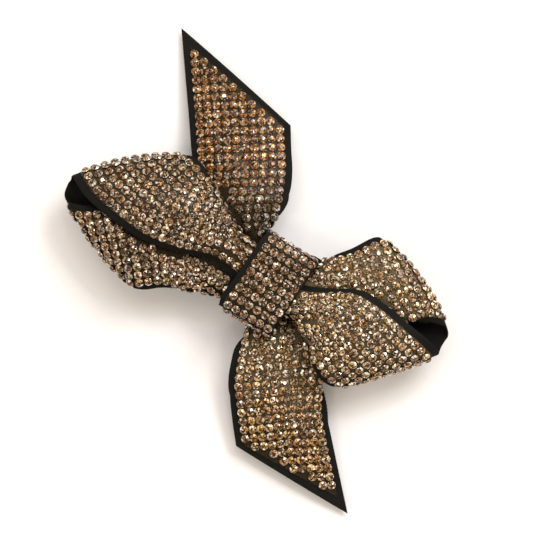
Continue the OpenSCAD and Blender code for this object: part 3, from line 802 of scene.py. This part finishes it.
def tube(path, radius, sides, closed=False):
    """Points and faces of a round tube along a path."""
    path = np.asarray(path, float)
    count = len(path)
    step = np.roll(path, -1, 0) - np.roll(path, 1, 0) if closed else np.gradient(path, axis=0)
    ahead = unit(step)
    side = np.empty_like(path)
    last = unit(np.cross(ahead[0], [0.1, 0.3, 1.0]))
    for k in range(count):
        last = unit(last - ahead[k] * np.dot(last, ahead[k]))
        side[k] = last
    up = np.cross(ahead, side)
    angle = np.linspace(0, 2 * math.pi, sides, endpoint=False)
    grid = (path[:, None, :] + radius * (np.cos(angle)[None, :, None] * side[:, None, :]
                                         + np.sin(angle)[None, :, None] * up[:, None, :]))
    faces = []
    for i in range(count if closed else count - 1):
        for j in range(sides):
            n, m = (i + 1) % count, (j + 1) % sides
            faces.append([i * sides + j, i * sides + m, n * sides + m, n * sides + j])
    if not closed:
        faces.append(list(range(sides))[::-1])
        faces.append([(count - 1) * sides + j for j in range(sides)])
    return grid.reshape(-1, 3), faces


def thread_piece():
    """Turns of thread round the waist, just inside the band."""
    turns, pitch, radius = 4, 1.4, 0.25
    angles = even_angles(0, 360, 181)[0][:-1]
    ring = waist_points(angles, -RIBBON_T - 0.05 - radius)
    rounds = []
    for turn in range(turns):
        x = BAND_X + BAND_W / 2 + (turn - (turns - 1) / 2) * pitch
        path = np.column_stack([np.full(len(ring), x) + 0.15 * np.sin(3 * angles + turn), ring])
        rounds.append(tube(path, radius, 8, closed=True))
    new_piece("waist_thread", *joined(rounds), RIBBON, "bow", "thread", "binding_thread")


def jaw_half_width(x):
    """Half of the jaw's width at a distance along it, narrow and round at the tip."""
    tip_x, end_x = PIVOT_X - JAW_FRONT, PIVOT_X + JAW_REAR
    neck = tip_x + (end_x - tip_x) * 0.45
    tip_r = TIP_W / 2
    straight = np.interp(x, [tip_x + tip_r, neck], [tip_r, JAW_W / 2])
    round_tip = np.sqrt(np.maximum(tip_r**2 - np.minimum(x - tip_x - tip_r, 0) ** 2, 0.0))
    return np.where(x < tip_x + tip_r, round_tip, straight)


def lining_piece():
    """Ribbon glued on the upper jaw, ribbed and worn down at its sides."""
    tip_x, end_x = PIVOT_X - JAW_FRONT, PIVOT_X + JAW_REAR
    xs = np.linspace(tip_x + 0.05, end_x, int((end_x - tip_x) / RIB_PITCH * 3))
    across = np.linspace(-1, 1, 13)
    half = jaw_half_width(xs)[:, None]
    low, high = PLATE_Z + STEEL_T + 0.01, PLATE_Z + STEEL_T + LINING_T
    ribs = RIB_H * (np.cos(2 * math.pi * xs / RIB_PITCH) - 1)[:, None]
    worn = 0.25 * np.abs(across)[None, :] ** 8
    length = np.repeat(xs[:, None], len(across), 1)
    top = np.stack([length, half * across, high + ribs - worn], axis=-1)
    bottom = np.stack([length, half * across, np.full(length.shape, low)], axis=-1)
    points, faces = thick_sheet(top, bottom)
    new_piece("jaw_lining", points, faces, RIBBON, "bow", "ribbon", "clip_lining")


def glue_piece():
    """A squeezed bead of glue between the lining and the knot band, with a wavy rim."""
    rows, columns = 96, 9
    half_x, half_y, power = 6.0, JAW_W / 2 - 0.6, 2 / 5
    low, high = PLATE_Z + STEEL_T + LINING_T - 0.02, 12.05
    angle = np.linspace(0, 2 * math.pi, rows, endpoint=False)
    reach = 1 + 0.04 * np.sin(3 * angle + 1) + 0.03 * np.sin(7 * angle) + 0.02 * np.sin(11 * angle + 2)
    x = half_x * reach * np.sign(np.cos(angle)) * np.abs(np.cos(angle)) ** power
    y = half_y * reach * np.sign(np.sin(angle)) * np.abs(np.sin(angle)) ** power
    grid = np.empty((rows, columns, 3))
    for k in range(columns):
        lean = math.pi * k / (columns - 1)
        swell = 1 + 0.05 * math.sin(lean)
        grid[:, k] = np.stack([BAND_X + BAND_W / 2 + x * swell, y * swell,
                               np.full(rows, low + (high - low) * (1 - math.cos(lean)) / 2)], axis=1)
    faces = grid_faces(rows, columns, wrap_rows=True)
    faces.append([k * columns for k in range(rows)])
    faces.append([k * columns + columns - 1 for k in range(rows)][::-1])
    new_piece("glue_bead", grid.reshape(-1, 3), faces, GLUE, "bow", "glue", "glue_pad")


def spring_piece():
    """The coil round the pin, with an upper leg under the upper jaw and a lower leg lower down."""
    wire_r, coil_r, turns, half, leg, low_leg_z = 0.35, 1.9, 4.5, 1.8, 9.0, 3.6
    steps = 200
    angle = np.radians(90 + np.linspace(0, turns * 360, steps))
    coil = np.column_stack([PIVOT_X + coil_r * np.cos(angle), np.linspace(half, -half, steps),
                            PIVOT_Z + coil_r * np.sin(angle)])
    top_end = [PIVOT_X + leg, half, PLATE_Z - wire_r - 0.1]
    low_end = [PIVOT_X + leg, -half, low_leg_z]
    first = np.linspace(top_end, coil[0], 12)[:-1]
    final = np.linspace(coil[-1], low_end, 12)[1:]
    points, faces = tube(np.concatenate([first, coil, final]), wire_r, 16)
    spring = new_piece("torsion_spring", points, faces, WIRE, None, "spring", "clip_spring")
    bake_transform(spring)


thread_piece()
lining_piece()
glue_piece()
spring_piece()


# ---------------------------------------------------------------- jaws and floor

for node in ("clip_upper_jaw", "clip_lower_jaw", "clip_pin"):
    part = bpy.data.objects[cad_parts[node].name]
    for material_slot in part.material_slots:
        material_slot.material = STEEL


def pale_floor(half, z):
    mesh = bpy.data.meshes.new("floor")
    mesh.from_pydata([(-half, -half, 0), (half, -half, 0), (half, half, 0), (-half, half, 0)],
                     [], [(0, 1, 2, 3)])
    mesh.materials.append(FLOOR)
    floor = bpy.data.objects.new("floor", mesh)
    bpy.context.scene.collection.objects.link(floor)
    floor.location.z = z


pale_floor(1.5, -0.0002)
